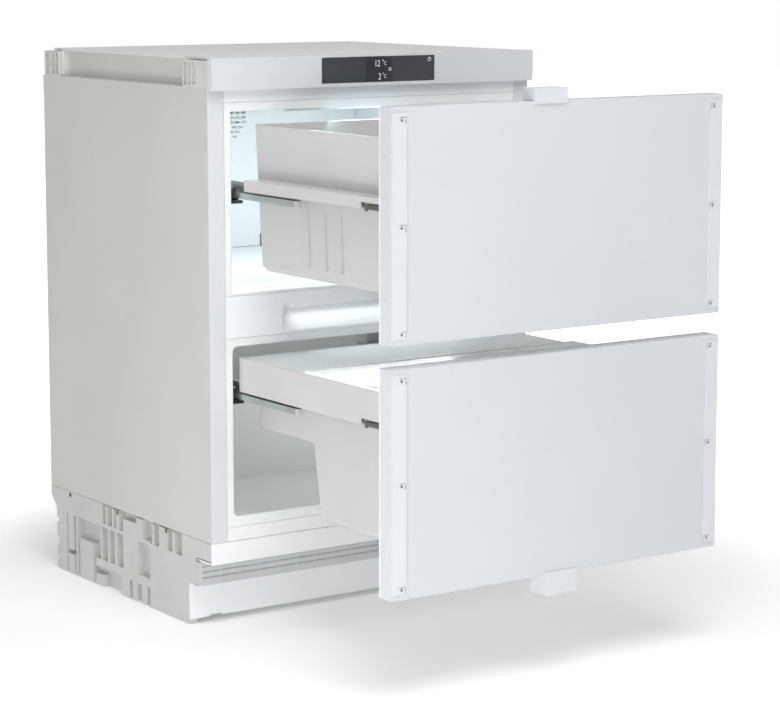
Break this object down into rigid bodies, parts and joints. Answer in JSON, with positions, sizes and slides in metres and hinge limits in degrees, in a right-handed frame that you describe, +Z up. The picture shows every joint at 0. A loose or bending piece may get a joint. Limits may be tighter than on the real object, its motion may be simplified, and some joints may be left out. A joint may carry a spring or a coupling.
{
  "type": "undercounter drawer refrigerator",
  "caption": "Built-in undercounter refrigerator with pull-out drawers on telescopic runners, panel-ready drawer fronts, a control strip and a ventilated base.",
  "frame": {"origin": "on the floor, under the middle of the whole part with its drawers pulled out", "axes": "+Z up, +Y to the back of the cabinet, -Y the way the drawers pull out, +X to the right of someone facing the drawers"},
  "size_m": [0.597, 1.008, 0.875],
  "materials": {
    "grey_paint": "satin powder coat",
    "top_plate": "matt",
    "white_paint": "satin powder coat",
    "front_skin": "satin powder coat",
    "grey_plastic": "fine moulded texture",
    "white_plastic": "satin",
    "liner": "semi-gloss",
    "foam": "rigid foam",
    "light": "frosted, lit",
    "display": "smoked glass",
    "board": "satin",
    "steel": "zinc plated",
    "fins": "mill finish",
    "copper": "drawn copper tube",
    "black_housing": "black enamel",
    "rubber": "matt",
    "dark_plastic": "matt",
    "basket": "semi-gloss",
    "glass": "clear float glass"
  },
  "bodies": {
    "cabinet": {"side_panel_left": "grey_paint", "side_panel_right": "grey_paint", "rear_panel": "grey_paint", "top_panel": "top_plate", "top_bar": "white_paint", "bottom_bar": "white_paint", "lower_fascia": "white_paint", "top_frame": "grey_plastic", "top_corner_blocks": "grey_plastic", "base_side_left": "grey_plastic", "base_side_right": "grey_plastic", "evaporation_tray": "grey_plastic", "control_panel": "white_plastic", "middle_bar": "white_plastic", "vent_grille": "white_plastic", "plinth_panel": "white_plastic", "upper_liner": "liner", "lower_liner": "liner", "back_cover": "liner", "insulation_foam": "foam", "light_strip": "light", "display_glass": "display", "control_board": "board", "base_tray": "steel", "upper_cabinet_rails": "steel", "lower_cabinet_rails": "steel", "base_screws": "steel", "condenser": "fins", "evaporator": "fins", "pipework": "copper", "compressor": "black_housing", "compressor_mounts": "rubber", "condenser_fan_frame": "dark_plastic", "power_inlet": "dark_plastic"},
    "upper_drawer": {"upper_front_panel": "front_skin", "upper_front_core": "foam", "upper_gasket": "rubber", "upper_fixing_rails": "white_plastic", "upper_alignment_block": "grey_plastic", "upper_basket": "basket", "upper_drawer_rails": "steel"},
    "lower_drawer": {"lower_front_panel": "front_skin", "lower_front_core": "foam", "lower_gasket": "rubber", "lower_fixing_rails": "white_plastic", "lower_alignment_block": "grey_plastic", "lower_basket": "basket", "lower_drawer_rails": "steel", "rear_glass_cover": "glass"},
    "upper_runners": {"upper_middle_rails": "steel"},
    "lower_runners": {"lower_middle_rails": "steel"},
    "glass_cover": {"front_glass_cover": "glass"},
    "upper_catch_pair": {"upper_catches": "dark_plastic"},
    "lower_catch_pair": {"lower_catches": "dark_plastic"},
    "front_left_foot": {"foot_front_left": "dark_plastic"},
    "front_right_foot": {"foot_front_right": "dark_plastic"},
    "rear_left_foot": {"foot_rear_left": "dark_plastic"},
    "rear_right_foot": {"foot_rear_right": "dark_plastic"},
    "condenser_rotor": {"condenser_fan": "dark_plastic"},
    "circulation_rotor": {"circulation_fan": "dark_plastic"}
  },
  "joints": [
    {"name": "upper_drawer_slide", "type": "slide", "parent": "cabinet", "child": "upper_drawer", "axis": [0, -1, 0], "range_m": [-0.433, 0]},
    {"name": "upper_runner_slide", "type": "slide", "parent": "cabinet", "child": "upper_runners", "axis": [0, -1, 0], "range_m": [-0.2165, 0]},
    {"name": "upper_catch_lever", "type": "hinge", "parent": "upper_drawer", "child": "upper_catch_pair", "pos_m": [0, -0.454, 0.681], "axis": [-1, 0, 0], "range_deg": [0, 10], "stiffness_Nm_per_rad": 0.05, "springref_deg": -11.46},
    {"name": "lower_drawer_slide", "type": "slide", "parent": "cabinet", "child": "lower_drawer", "axis": [0, -1, 0], "range_m": [-0.433, 0]},
    {"name": "lower_runner_slide", "type": "slide", "parent": "cabinet", "child": "lower_runners", "axis": [0, -1, 0], "range_m": [-0.2165, 0]},
    {"name": "lower_catch_lever", "type": "hinge", "parent": "lower_drawer", "child": "lower_catch_pair", "pos_m": [0, -0.454, 0.376], "axis": [-1, 0, 0], "range_deg": [0, 10], "stiffness_Nm_per_rad": 0.05, "springref_deg": -11.46},
    {"name": "glass_cover_slide", "type": "slide", "parent": "lower_drawer", "child": "glass_cover", "axis": [0, 1, 0], "range_m": [0, 0.17]},
    {"name": "front_left_foot_screw", "type": "slide", "parent": "cabinet", "child": "front_left_foot", "axis": [0, 0, -1], "range_m": [0, 0.045]},
    {"name": "front_right_foot_screw", "type": "slide", "parent": "cabinet", "child": "front_right_foot", "axis": [0, 0, -1], "range_m": [0, 0.045]},
    {"name": "rear_left_foot_screw", "type": "slide", "parent": "cabinet", "child": "rear_left_foot", "axis": [0, 0, -1], "range_m": [0, 0.045]},
    {"name": "rear_right_foot_screw", "type": "slide", "parent": "cabinet", "child": "rear_right_foot", "axis": [0, 0, -1], "range_m": [0, 0.045]},
    {"name": "condenser_fan_spin", "type": "hinge", "parent": "cabinet", "child": "condenser_rotor", "pos_m": [0.15, 0.175, 0.066], "axis": [0, 1, 0], "continuous": true},
    {"name": "circulation_fan_spin", "type": "hinge", "parent": "cabinet", "child": "circulation_rotor", "pos_m": [0, 0.42, 0.753], "axis": [0, 1, 0], "continuous": true}
  ],
  "couplings": [
    {"joint": "upper_runner_slide", "follows": "upper_drawer_slide", "ratio": 0.5},
    {"joint": "lower_runner_slide", "follows": "lower_drawer_slide", "ratio": 0.5}
  ]
}
